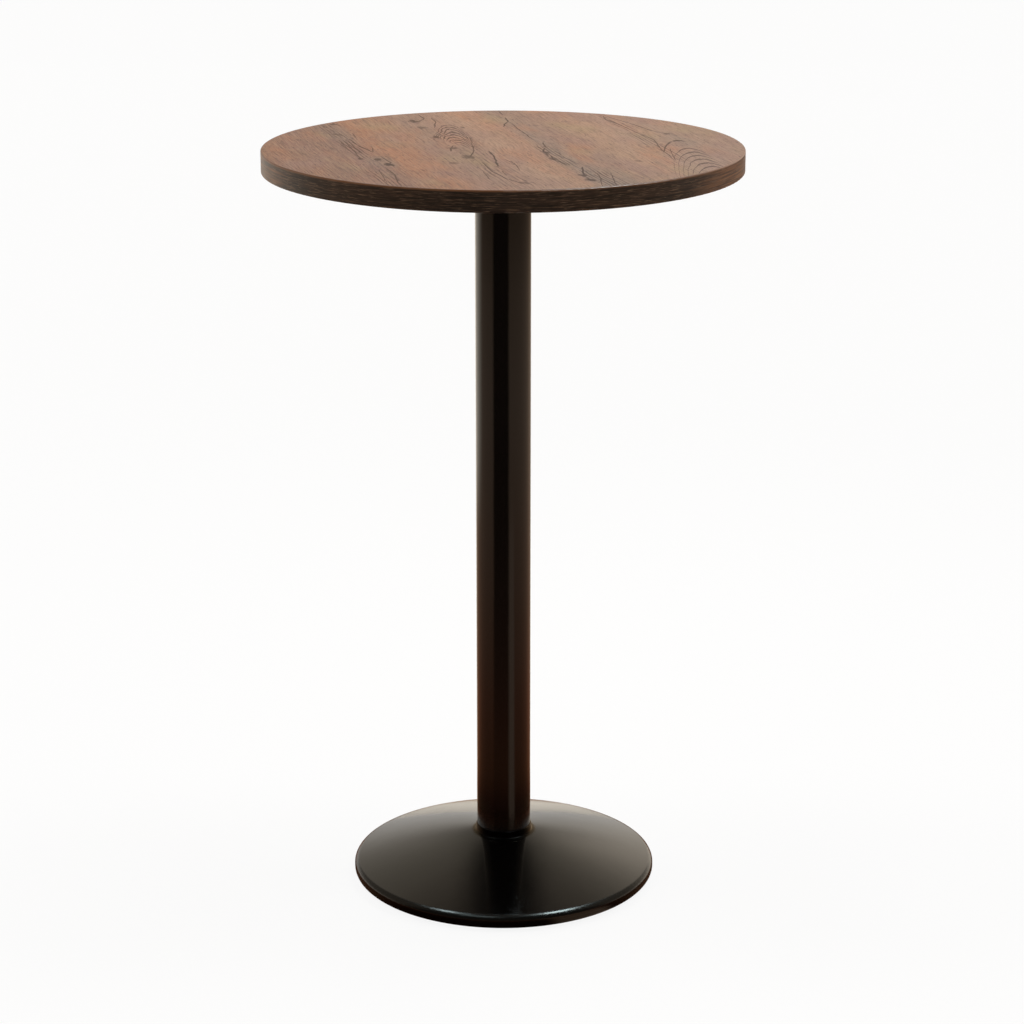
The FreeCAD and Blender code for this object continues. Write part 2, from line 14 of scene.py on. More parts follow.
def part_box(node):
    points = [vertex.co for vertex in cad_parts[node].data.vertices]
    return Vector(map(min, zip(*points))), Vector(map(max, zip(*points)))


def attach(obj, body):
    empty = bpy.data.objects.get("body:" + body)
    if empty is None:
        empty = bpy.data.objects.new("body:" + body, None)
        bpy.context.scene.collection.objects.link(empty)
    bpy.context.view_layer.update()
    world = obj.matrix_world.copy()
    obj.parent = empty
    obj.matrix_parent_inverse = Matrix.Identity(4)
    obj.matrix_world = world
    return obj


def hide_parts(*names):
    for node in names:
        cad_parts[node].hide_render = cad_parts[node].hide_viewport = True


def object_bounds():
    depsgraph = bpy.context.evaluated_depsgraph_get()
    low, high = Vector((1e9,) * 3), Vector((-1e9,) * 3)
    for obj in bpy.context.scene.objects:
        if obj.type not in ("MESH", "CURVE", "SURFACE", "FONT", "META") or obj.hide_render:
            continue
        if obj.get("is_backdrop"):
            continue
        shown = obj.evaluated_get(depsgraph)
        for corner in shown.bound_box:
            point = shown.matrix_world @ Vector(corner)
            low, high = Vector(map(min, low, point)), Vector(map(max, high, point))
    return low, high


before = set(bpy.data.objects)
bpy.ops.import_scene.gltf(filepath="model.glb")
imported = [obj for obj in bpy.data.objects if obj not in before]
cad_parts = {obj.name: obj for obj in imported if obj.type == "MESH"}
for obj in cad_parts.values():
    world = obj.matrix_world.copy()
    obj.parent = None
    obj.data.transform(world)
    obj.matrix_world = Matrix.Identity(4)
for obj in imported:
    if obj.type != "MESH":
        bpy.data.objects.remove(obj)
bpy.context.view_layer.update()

# ------------------------------------------------------------------ glide pads
# Each levelling glide stands on a black nylon pad, injection moulded round the flange of its
# stud.  Nylon comes out of the mould slightly grained and picks up dust at its rim.


class Value:
    """A number that changes over a surface; Python sums on it add the Math nodes."""

    def __init__(self, finish, socket):
        self.finish = finish
        self.socket = socket

    def math(self, operation, *others):
        inputs = dict(enumerate((self, *others)))
        return self.finish.node("ShaderNodeMath", {"operation": operation}, inputs)

    def __add__(self, other):
        return self.math("ADD", other)

    __radd__ = __add__

    def __mul__(self, other):
        return self.math("MULTIPLY", other)

    __rmul__ = __mul__

    def __sub__(self, other):
        return self.math("SUBTRACT", other)

    def __rsub__(self, other):
        return self * -1 + other

    def __truediv__(self, other):
        return self.math("DIVIDE", other)

    def __abs__(self):
        return self.math("ABSOLUTE")

    def largest(self, other):
        return self.math("MAXIMUM", other)

    def fade(self, low, high):
        """0 up to low, 1 from high, and a smooth rise between them; a fall, if high < low."""
        limits = {"Value": self, "From Min": low, "From Max": high}
        return self.finish.node(
            "ShaderNodeMapRange", {"interpolation_type": "SMOOTHSTEP"}, limits
        )

    def slide(self, low, high):
        """0 up to low, 1 from high, in a straight line between them."""
        limits = {"Value": self, "From Min": low, "From Max": high}
        return self.finish.node("ShaderNodeMapRange", {}, limits)

    def between(self, low, high, edge):
        """1 between two limits, falling to 0 over a soft edge outside them."""
        return self.fade(low - edge, low) * self.fade(high + edge, high)


class Finish:
    """The material of one kind of surface, made of nodes."""

    def __init__(self, name):
        self.material = bpy.data.materials.new(name)
        self.material.use_nodes = True
        self.tree = self.material.node_tree
        self.tree.nodes.clear()

    def node(self, kind, settings, inputs, output=0):
        made = self.tree.nodes.new(kind)
        for key, setting in settings.items():
            if key == "stops":
                self.set_stops(made.color_ramp, setting)
            else:
                setattr(made, key, setting)
        for key, given in inputs.items():
            if isinstance(given, Value):
                self.tree.links.new(given.socket, made.inputs[key])
            else:
                made.inputs[key].default_value = given
        if made.outputs:
            return Value(self, made.outputs[output])

    def set_stops(self, ramp, stops):
        """Gives a colour ramp its stops, each a place from 0 to 1 and a colour."""
        while len(ramp.elements) < len(stops):
            ramp.elements.new(0.5)
        for element, (place, colour) in zip(ramp.elements, stops):
            element.position = place
            element.color = colour

    def place(self):
        """Where a point of the piece lies: its x, y and z as values."""
        spot = self.node("ShaderNodeTexCoord", {}, {}, "Object")
        return [self.node("ShaderNodeSeparateXYZ", {}, {0: spot}, axis) for axis in "XYZ"]

    def point(self, x, y, z=0.0):
        """One vector made of three values."""
        return self.node("ShaderNodeCombineXYZ", {}, {0: x, 1: y, 2: z})

    def noise(self, point, scale, detail, roughness=0.5):
        """Cloudy noise from 0 to 1, about 0.5."""
        inputs = {"Vector": point, "Scale": scale, "Detail": detail, "Roughness": roughness}
        return self.node("ShaderNodeTexNoise", {}, inputs)

    def mix(self, share, first, second):
        """A colour that goes from the first to the second as share goes from 0 to 1."""
        settings = {"data_type": "RGBA"}
        return self.node("ShaderNodeMix", settings, {0: share, 6: first, 7: second}, 2)

    def relief(self, height, depth):
        """The surface's normal, where a height of 0 to 1 stands for a relief of that depth."""
        return self.node("ShaderNodeBump", {}, {"Height": height, "Distance": depth})

    def surface(self, **inputs):
        """Ends the material in one Principled surface and returns the material."""
        named = {key.replace("_", " "): given for key, given in inputs.items()}
        skin = self.node("ShaderNodeBsdfPrincipled", {}, named)
        self.node("ShaderNodeOutputMaterial", {}, {"Surface": skin})
        return self.material


def paint(red, green, blue):
    """A colour given as it looks on a screen, 0 to 255, as the shader's linear colour."""
    parts = [value / 255 for value in (red, green, blue)]
    linear = [p / 12.92 if p <= 0.04045 else ((p + 0.055) / 1.055) ** 2.4 for p in parts]
    return (*linear, 1.0)


def give(names, material):
    """Puts a material on CAD nodes."""
    for name in names:
        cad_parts[name].data.materials.clear()
        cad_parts[name].data.materials.append(material)


def nylon():
    finish = Finish("black_nylon")
    x, y, z = finish.place()
    spot = finish.point(x, y, z)
    grain = finish.noise(spot, 1800, 3)
    cloud = finish.noise(spot, 90, 2)
    rim_dust = z.fade(0.0025, 0.0) * cloud.fade(0.4, 0.7)
    return finish.surface(
        Base_Color=finish.mix(rim_dust * 0.5, paint(28, 28, 29), paint(78, 74, 70)),
        Roughness=0.42 + 0.12 * cloud,
        Normal=finish.relief(grain, 0.00006),
    )


PLACES = ("front_left", "front_right", "back_right", "back_left")
give([f"glide_pad_{place}" for place in PLACES], nylon())

# ------------------------------------------------------------------ glide studs
# A steel stud turns in each pad: a captive flange, a neck, a chamfered hexagon for the spanner
# and a rolled M8 thread that screws up into the foot.  The steel is bright zinc plated.
WELD_REACH = 1e-6
THREAD_DEPTH = 0.6134  # of a metric thread, as a share of its pitch
OVERLAP = 0.0002  # by which the parts of one turned piece run into each other
FLANGE_RADIUS, FLANGE_HEIGHT, FLANGE_EDGE = 0.007, 0.0025, 0.0004
NECK_RADIUS = 0.0035
SPANNER_FLATS, SPANNER_GAP = 0.013, 0.00008
STUD_DIAMETER, STUD_PITCH = 0.008, 0.00125
STUD_TIP_RADIUS, STUD_TIP_FACE = 0.0032, 0.0027
STUD_TIP_HEIGHT, STUD_TIP_CHAMFER = 0.0008, 0.0006
BOSS_FACE = 0.012
HEXAGON_FACE = 0.96  # what the chamfer leaves flat, as a share of the size across flats
SHARP_ANGLE = math.radians(35)


def lathe(bm, outline, steps, turn=2 * math.pi, rise=0.0):
    """Turns an outline of (radius, height) points about Z; rise is the climb over the turn."""
    corners = [bm.verts.new((radius, 0, height)) for radius, height in outline]
    edges = [bm.edges.new(pair) for pair in zip(corners, corners[1:])]
    full = math.isclose(turn, 2 * math.pi) and not rise
    bmesh.ops.spin(
        bm,
        geom=corners + edges,
        cent=(0, 0, 0),
        axis=(0, 0, 1),
        dvec=(0, 0, rise / steps),
        angle=turn,
        steps=steps,
        use_merge=full,
    )


def weld(bm):
    """Joins corners that lie on one another and turns all faces outwards."""
    bmesh.ops.remove_doubles(bm, verts=bm.verts, dist=WELD_REACH)
    bmesh.ops.recalc_face_normals(bm, faces=bm.faces)


def cut_off(bm, point, outwards):
    """Cuts away what lies beyond a plane and closes the cut."""
    geometry = bm.verts[:] + bm.edges[:] + bm.faces[:]
    cut = bmesh.ops.bisect_plane(
        bm, geom=geometry, dist=1e-7, plane_co=point, plane_no=outwards, clear_outer=True
    )
    rim = [part for part in cut["geom_cut"] if isinstance(part, bmesh.types.BMEdge)]
    bmesh.ops.edgeloop_fill(bm, edges=rim)


def thread(diameter, pitch, bottom, top, steps):
    """A rolled thread with flat crests, cut square at both ends."""
    bm = bmesh.new()
    crest = diameter / 2
    root = crest - THREAD_DEPTH * pitch
    turns = math.ceil((top - bottom) / pitch) + 2
    outline = []
    for turn in range(turns):
        foot = bottom + (turn - 1) * pitch
        outline += [
            (root, foot),
            (root, foot + pitch / 4),
            (crest, foot + pitch * 9 / 16),
            (crest, foot + pitch * 11 / 16),
        ]
    outline.append((root, bottom + (turns - 1) * pitch))
    lathe(bm, outline, steps, rise=pitch)
    weld(bm)
    cut_off(bm, (0, 0, bottom), (0, 0, -1))
    cut_off(bm, (0, 0, top), (0, 0, 1))
    weld(bm)
    return bm


def hexagon(flats, bottom, top, bore):
    """A hexagon with both rims chamfered at 30 degrees, cut from a turned blank."""
    bm = bmesh.new()
    corner = flats / math.sqrt(3)
    face = flats / 2 * HEXAGON_FACE
    slope = (corner - face) * math.tan(math.radians(30))
    outline = [
        (bore, bottom),
        (face, bottom),
        (corner, bottom + slope),
        (corner, top - slope),
        (face, top),
        (bore, top),
        (bore, bottom),
    ]
    lathe(bm, outline, steps=96)
    weld(bm)
    for side in range(6):
        angle = math.radians(60 * side)
        outwards = Vector((math.cos(angle), math.sin(angle), 0))
        cut_off(bm, outwards * flats / 2, outwards)
    weld(bm)
    return bm


def turned(outline, steps=64):
    """A solid of revolution with the given outline."""
    bm = bmesh.new()
    lathe(bm, outline, steps)
    weld(bm)
    return bm


def piece(name, parts, material, body, nodes, moves=((0, 0, 0),)):
    """One finished piece that stands for nodes, made of parts repeated at each move."""
    whole = bmesh.new()
    for part in parts:
        for move in moves:
            mesh = bpy.data.meshes.new(name)
            part.to_mesh(mesh)
            mesh.transform(Matrix.Translation(move))
            whole.from_mesh(mesh)
            bpy.data.meshes.remove(mesh)
        part.free()
    mesh = bpy.data.meshes.new(name)
    whole.to_mesh(mesh)
    whole.free()
    mesh.shade_smooth()
    mesh.set_sharp_from_angle(angle=SHARP_ANGLE)
    mesh.materials.append(material)
    made = bpy.data.objects.new(name, mesh)
    bpy.context.scene.collection.objects.link(made)
    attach(made, body)
    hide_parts(*nodes)


def bright_zinc():
    finish = Finish("bright_zinc_plate")
    x, y, z = finish.place()
    spot = finish.point(x, y, z)
    bloom = finish.noise(spot, 240, 4, 0.6)
    turning = finish.noise(finish.point(x * 0.1, y * 0.1, z), 5200, 1)
    stain = finish.noise(spot, 60, 3).fade(0.55, 0.75)
    return finish.surface(
        Base_Color=finish.mix(stain * 0.4, paint(196, 199, 203), paint(168, 164, 152)),
        Metallic=1.0,
        Roughness=0.24 + 0.22 * bloom,
        Normal=finish.relief(turning, 0.00002),
    )


zinc = bright_zinc()
for place in PLACES:
    low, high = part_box(f"glide_stud_{place}")
    middle = (low + high) / 2
    pad_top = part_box(f"glide_pad_{place}")[1].z
    flange_top = low.z + FLANGE_HEIGHT
    flange = turned(
        (
            (0.0, low.z),
            (FLANGE_RADIUS - FLANGE_EDGE, low.z),
            (FLANGE_RADIUS, low.z + FLANGE_EDGE),
            (FLANGE_RADIUS, flange_top - FLANGE_EDGE),
            (FLANGE_RADIUS - FLANGE_EDGE, flange_top),
            (NECK_RADIUS, flange_top),
            (NECK_RADIUS, pad_top + OVERLAP),
            (0.0, pad_top + OVERLAP),
        )
    )
    spanner_face = hexagon(SPANNER_FLATS, pad_top + SPANNER_GAP, BOSS_FACE, 0.0)
    thread_end = high.z - STUD_TIP_HEIGHT
    thread_foot = BOSS_FACE - OVERLAP
    stud_thread = thread(STUD_DIAMETER, STUD_PITCH, thread_foot, thread_end, steps=32)
    tip = turned(
        (
            (0.0, thread_end - OVERLAP),
            (STUD_TIP_RADIUS, thread_end - OVERLAP),
            (STUD_TIP_RADIUS, high.z - STUD_TIP_CHAMFER),
            (STUD_TIP_FACE, high.z),
            (0.0, high.z),
        )
    )
    piece(
        f"glide_stud_{place}_steel",
        (flange, spanner_face, stud_thread, tip),
        zinc,
        f"stud_{place}",
        (f"glide_stud_{place}",),
        ((middle.x, middle.y, 0),),
    )

# ------------------------------------------------------------------ cast foot
# A grey-iron casting, ground on top and enamelled gloss black.  The enamel runs smooth over
# dome and rim; under the foot only a thin coat covers the grain of the moulding sand.
RIM_CORNER, DOME_TOP = 0.022, 0.067
SEAT_RADIUS = 0.0412
RIM_ROUNDING = 0.008
LAND_ANGLE = 0.85  # up the rounding, in radians


def foot_enamel():
    finish = Finish("black_enamel_on_casting")
    x, y, z = finish.place()
    spot = finish.point(x, y, z)
    rim_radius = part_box("base_casting")[1].x
    slope = (DOME_TOP - RIM_CORNER) / (rim_radius - SEAT_RADIUS)
    radius = (x * x + y * y).math("SQRT")

    # the ground side: the skin of the dome, and the rim from its rounding outwards
    skin = z - (RIM_CORNER + (rim_radius - radius) * slope - 0.004)
    rim_skin = radius.fade(rim_radius - 0.009, rim_radius - 0.007)
    on_show = skin.fade(0.0, 0.0008).largest(rim_skin)
    waves = finish.noise(spot, 14, 2)
    peel = finish.noise(spot, 420, 2)
    sand = finish.noise(spot, 900, 5, 0.7)
    cast_lumps = finish.noise(spot, 160, 4, 0.6)
    height = on_show * (waves * 0.5 + peel * 0.02) + (1 - on_show) * (sand * 0.3 + cast_lumps)
    dust = finish.noise(spot, 1500, 2).fade(0.68, 0.76) * 0.06

    # the enamel builds up to a flatter land half way round the rim's upper rounding
    near_rim = radius.fade(rim_radius - 0.011, rim_radius - 0.005)
    rounding = ((radius - (rim_radius - RIM_ROUNDING)) / RIM_ROUNDING).math("ARCCOSINE")
    land = abs(rounding - LAND_ANGLE).fade(0.0, 0.7) * z.fade(0.012, 0.014)
    height = height + land * on_show * 0.95

    # painted shade round the seat, at the joint with the column: near-black metal there
    # mirrors little, except at a glancing angle
    seat_shade = radius.fade(SEAT_RADIUS + 0.009, SEAT_RADIUS + 0.003)
    show_rough = 0.08 + 0.05 * finish.noise(spot, 30, 3) + dust
    show_rough = show_rough + near_rim * 0.10 + seat_shade * 0.22
    hidden_rough = 0.55 + 0.15 * sand
    return finish.surface(
        Base_Color=finish.mix(on_show, paint(26, 24, 22), paint(3, 2, 2)),
        # painted shade: near-black metal round the seat
        Metallic=seat_shade * 0.95,
        Roughness=on_show * show_rough + (1 - on_show) * hidden_rough,
        IOR=1.45,
        Specular_Tint=(1.0, 0.88, 0.74, 1.0),
        Normal=finish.relief(height, 0.0005),
    )


give(["base_casting"], foot_enamel())

# ------------------------------------------------------------------ column
# A welded steel tube, ground smooth, stove enamelled gloss black like the foot.  It stands on
# the foot's raised seat and is held there only by the tie rod.


def tube_enamel():
    finish = Finish("black_enamel_on_tube")
    x, y, z = finish.place()
    spot = finish.point(x, y, z)
    long_waves = finish.noise(finish.point(x * 6, y * 6, z), 9, 2)
    peel = finish.noise(spot, 480, 2)
    specks = finish.noise(spot, 1300, 2).fade(0.68, 0.76) * 0.08
    return finish.surface(
        Base_Color=paint(4, 2, 2),
        Roughness=0.09 + 0.04 * finish.noise(spot, 20, 3) + specks,
        IOR=1.45,
        Normal=finish.relief(long_waves * 0.5 + peel * 0.03, 0.0003),
    )


give(["column_tube"], tube_enamel())

# ------------------------------------------------------------------ tie rod
# A round bar with a rolled M12 thread at each end.  It clamps foot, column and spider together
# and is plain in the middle; only its lower end shows, under the foot.
rod_low, rod_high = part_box("tie_rod")
ROD_RADIUS = 0.006
THREADED_LENGTH = 0.032
ROD_PITCH = 0.00175
TIP_CHAMFER = 0.001
shank_foot = rod_low.z + THREADED_LENGTH
shank_head = rod_high.z - THREADED_LENGTH
shank = turned(
    (
        (0.0, shank_foot - 0.001),
        (ROD_RADIUS - 0.001, shank_foot - 0.001),
        (ROD_RADIUS, shank_foot),
        (ROD_RADIUS, shank_head),
        (ROD_RADIUS - 0.001, shank_head + 0.001),
        (0.0, shank_head + 0.001),
    )
)
rod_parts = [shank]
for end, inner in ((rod_low.z, shank_foot), (rod_high.z, shank_head)):
    inwards = 1 if inner > end else -1
    bottom, top = sorted((end + inwards * TIP_CHAMFER, inner))
    rod_parts.append(thread(2 * ROD_RADIUS, ROD_PITCH, bottom, top, steps=48))
    core_radius = ROD_RADIUS - THREAD_DEPTH * ROD_PITCH
    rim = end + inwards * TIP_CHAMFER
    rod_parts.append(
        turned(
            (
                (0.0, rim + inwards * OVERLAP),
                (core_radius, rim + inwards * OVERLAP),
                (core_radius, rim),
                (core_radius - TIP_CHAMFER * 0.6, end),
                (0.0, end),
            )
        )
    )
piece("tie_rod_threaded", rod_parts, zinc, "table", ("tie_rod",))

# ------------------------------------------------------------------ nuts and washers
# Two M12 nuts draw the rod tight on large washers, and a split spring washer under the foot
# keeps the lower one from working loose.
NUT_FLATS = 0.019
SPRING_BORE_RADIUS, SPRING_EDGE = 0.0065, 0.0003
SPRING_LIFT = 0.0002  # of one end over the other
SPLIT = math.radians(8)

for end in ("upper", "lower"):
    node = f"tie_rod_{end}_nut"
    low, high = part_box(node)
    nut = hexagon(NUT_FLATS, low.z, high.z, ROD_RADIUS)
    piece(f"{node}_chamfered", (nut,), zinc, "table", (node,))

give(["tie_rod_upper_washer", "tie_rod_lower_washer"], zinc)

low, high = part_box("tie_rod_spring_washer")
spring = bmesh.new()
inner, outer, edge = SPRING_BORE_RADIUS, high.x, SPRING_EDGE
spring_top = high.z - SPRING_LIFT
lathe(
    spring,
    (
        (inner + edge, low.z),
        (outer - edge, low.z),
        (outer, low.z + edge),
        (outer, spring_top - edge),
        (outer - edge, spring_top),
        (inner + edge, spring_top),
        (inner, spring_top - edge),
        (inner, low.z + edge),
        (inner + edge, low.z),
    ),
    steps=80,
    turn=2 * math.pi - SPLIT,
    rise=SPRING_LIFT,
)
weld(spring)
bmesh.ops.holes_fill(spring, edges=spring.edges, sides=12)
weld(spring)
piece(
    "tie_rod_split_washer",
    (spring,),
    zinc,
    "table",
    ("tie_rod_spring_washer",),
)

# ------------------------------------------------------------------ spider
# The four-armed spider is sand cast and sprayed satin black, so the grain of the mould still
# shows through the paint.  Its hub centres the column and holds the upper nut.


def satin_black():
    finish = Finish("satin_black_on_sand_casting")
    x, y, z = finish.place()
    spot = finish.point(x, y, z)
    sand = finish.noise(spot, 1100, 5, 0.7)
    lumps = finish.noise(spot, 120, 3)
    worn = finish.noise(spot, 300, 4, 0.7).fade(0.68, 0.76)
    return finish.surface(
        Base_Color=finish.mix(worn * 0.5, paint(29, 28, 27), paint(74, 70, 66)),
        Roughness=0.46 + 0.16 * sand,
        Normal=finish.relief(sand * 0.35 + lumps, 0.0004),
    )


give(["top_spider"], satin_black())

# ------------------------------------------------------------------ spider screws
# Eight yellow-passivated chipboard screws: pan heads with a cross recess, and a coarse thread
# that runs up into the board.
screw_low, screw_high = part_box("spider_screws")
HEAD_RADIUS, HEAD_HEIGHT = 0.005, 0.0032
EDGE_WIDTH, EDGE_HEIGHT = 0.0002, 0.0003
DOME_INSET, DOME_HEIGHT = 0.0026, 0.0016
CROSS_SIZE, CROSS_TAPER = (0.0052, 0.0011, 0.0044), 0.55
SHANK_DIAMETER, SCREW_PITCH = 0.005, 0.0022
SCREW_CIRCLES = (0.112, 0.152)
ARM_ANGLES = (45, 135, 225, 315)


def pan_head():
    """A domed head with a cross recess, its flat face up against the arm."""
    face = screw_low.z + HEAD_HEIGHT
    rim = [(HEAD_RADIUS - EDGE_WIDTH, face), (HEAD_RADIUS, face - EDGE_HEIGHT)]
    outline = [(0.0, face), *rim]
    for step in range(9):
        angle = math.radians(10 * step)
        reach = HEAD_RADIUS - DOME_INSET * (1 - math.cos(angle))
        outline.append((reach, screw_low.z + DOME_HEIGHT * (1 - math.sin(angle))))
    outline.append((0.0, screw_low.z))
    head = turned(outline, steps=48)
    mesh = bpy.data.meshes.new("pan_head")
    head.to_mesh(mesh)
    head.free()
    blank = bpy.data.objects.new("pan_head", mesh)
    bpy.context.scene.collection.objects.link(blank)
    cutters = []
    for turn in (0, 90):
        arm = bmesh.new()
        bmesh.ops.create_cube(arm, size=1)
        size = Matrix.Diagonal((*CROSS_SIZE, 1))
        spin = Matrix.Rotation(math.radians(turn), 4, "Z")
        lift = Matrix.Translation((0, 0, screw_low.z))
        bmesh.ops.transform(arm, matrix=lift @ spin @ size, verts=arm.verts)
        deep = [corner for corner in arm.verts if corner.co.z > screw_low.z]
        for corner in deep:
            corner.co.x *= CROSS_TAPER
            corner.co.y *= CROSS_TAPER
        cutter_mesh = bpy.data.meshes.new("cross_cutter")
        arm.to_mesh(cutter_mesh)
        arm.free()
        cutter = bpy.data.objects.new("cross_cutter", cutter_mesh)
        bpy.context.scene.collection.objects.link(cutter)
        cutters.append(cutter)
        cut = blank.modifiers.new("recess", "BOOLEAN")
        cut.operation = "DIFFERENCE"
        cut.solver = "EXACT"
        cut.object = cutter
    bpy.context.view_layer.update()
    shaped = bmesh.new()
    shaped.from_object(blank, bpy.context.evaluated_depsgraph_get())
    for helper in (blank, *cutters):
        bpy.data.objects.remove(helper)
    return shaped


def yellow_zinc():
    finish = Finish("yellow_passivated_zinc")
    x, y, z = finish.place()
    spot = finish.point(x, y, z)
    bloom = finish.noise(spot, 420, 3)
    return finish.surface(
        Base_Color=finish.mix(bloom, paint(203, 178, 112), paint(188, 186, 150)),
        Metallic=1.0,
        Roughness=0.26 + 0.2 * bloom,
        Normal=finish.relief(finish.noise(spot, 2600, 2), 0.00002),
    )


screw_spots = []
for angle in ARM_ANGLES:
    for circle in SCREW_CIRCLES:
        turn = math.radians(angle)
        screw_spots.append((circle * math.cos(turn), circle * math.sin(turn), 0))
under_head = screw_low.z + HEAD_HEIGHT
thread_foot = under_head - OVERLAP
screw_thread = thread(SHANK_DIAMETER, SCREW_PITCH, thread_foot, screw_high.z, steps=20)
piece(
    "spider_screws_crossed",
    (pan_head(), screw_thread),
    yellow_zinc(),
    "table",
    ("spider_screws",),
    screw_spots,
)

# ------------------------------------------------------------------ board and backing sheet
# The top is a pressed chipboard disc.  A brown phenolic sheet glued under it balances the pull
# of the decor sheet above, and keeps the paper's faint mottling.


def chipboard():
    finish = Finish("pressed_chipboard")
    x, y, z = finish.place()
    spot = finish.point(x, y, z)
    chip = {"Vector": spot, "Scale": 420.0}
    chips = finish.node("ShaderNodeTexVoronoi", {}, chip, "Color")
    shade = finish.node("ShaderNodeSeparateColor", {}, {0: chips})
    glue = finish.node("ShaderNodeTexVoronoi", {"feature": "DISTANCE_TO_EDGE"}, chip)
    tone = finish.mix(shade, paint(176, 142, 98), paint(220, 193, 148))
    return finish.surface(
        Base_Color=finish.mix(glue.fade(0.1, 0.0) * 0.6, tone, paint(128, 96, 62)),
        Roughness=0.75 + 0.15 * shade,
        Normal=finish.relief(shade, 0.0003),
    )


def backing_paper():
    finish = Finish("brown_balancing_sheet")
    x, y, z = finish.place()
    spot = finish.point(x, y, z)
    mottle = finish.noise(spot, 70, 4, 0.6)
    fibre = finish.noise(finish.point(x * 3, y, z), 500, 3)
    scuff = finish.noise(finish.point(x, y * 8, z), 22, 4, 0.7).fade(0.62, 0.75)
    tone = finish.mix(mottle, paint(88, 68, 52), paint(116, 92, 72))
    return finish.surface(
        Base_Color=finish.mix(scuff * 0.25, tone, paint(140, 118, 98)),
        Roughness=0.5 + 0.15 * fibre,
        Normal=finish.relief(fibre + mottle * 0.5, 0.00012),
    )


give(["top_core"], chipboard())
give(["backing_laminate"], backing_paper())

# ------------------------------------------------------------------ decor laminate
# The face is a matt melamine laminate printed as rustic oak: boards of different tones, dark
# cracks, knots, a curly figure and one tall cathedral.  Fibres and pores are lightly embossed.
GRAIN_TURN = math.radians(14.5)
TOP_RADIUS = 0.34
# the boards, by place across the grain from 0 at the left edge to 1 at the right, and tone
BOARD_TONES = (
    (0.00, paint(140, 93, 65)),
    (0.09, paint(135, 96, 75)),
    (0.20, paint(127, 92, 79)),
    (0.255, paint(163, 108, 74)),
    (0.32, paint(164, 112, 81)),
    (0.37, paint(146, 115, 98)),
    (0.45, paint(155, 120, 102)),
    (0.50, paint(171, 134, 109)),
    (0.555, paint(167, 120, 95)),
    (0.585, paint(132, 109, 97)),
    (0.66, paint(143, 111, 90)),
    (0.72, paint(169, 130, 102)),
    (0.80, paint(159, 126, 108)),
    (0.88, paint(150, 119, 101)),
    (1.00, paint(149, 115, 91)),
)
# soft grey patches: across and along the grain, half width, half length
HAZES = (
    (-0.203, 0.19, 0.026, 0.13),
    (-0.190, -0.08, 0.024, 0.06),
    (-0.070, 0.15, 0.014, 0.07),
    (0.052, -0.09, 0.026, 0.12),
    (0.075, -0.26, 0.045, 0.12),
    (0.255, -0.01, 0.030, 0.08),
)
# bundles of dark lines: across, start and end along the grain, half width, pitch, strength
BUNDLES = (
    (-0.206, 0.10, -0.02, 0.013, 0.0052, 0.8),
    (-0.214, -0.15, -0.28, 0.024, 0.0054, 0.6),
    (-0.205, 0.27, 0.15, 0.016, 0.0056, 0.6),
    (-0.052, 0.02, -0.14, 0.026, 0.0070, 0.42),
    (-0.055, -0.16, -0.30, 0.030, 0.0066, 0.42),
    (0.052, -0.02, -0.16, 0.014, 0.0048, 0.8),
    (0.070, -0.22, -0.34, 0.022, 0.0050, 0.9),
    (0.216, 0.24, 0.10, 0.012, 0.0060, 0.6),
    (0.212, 0.06, -0.16, 0.014, 0.0056, 0.7),
)
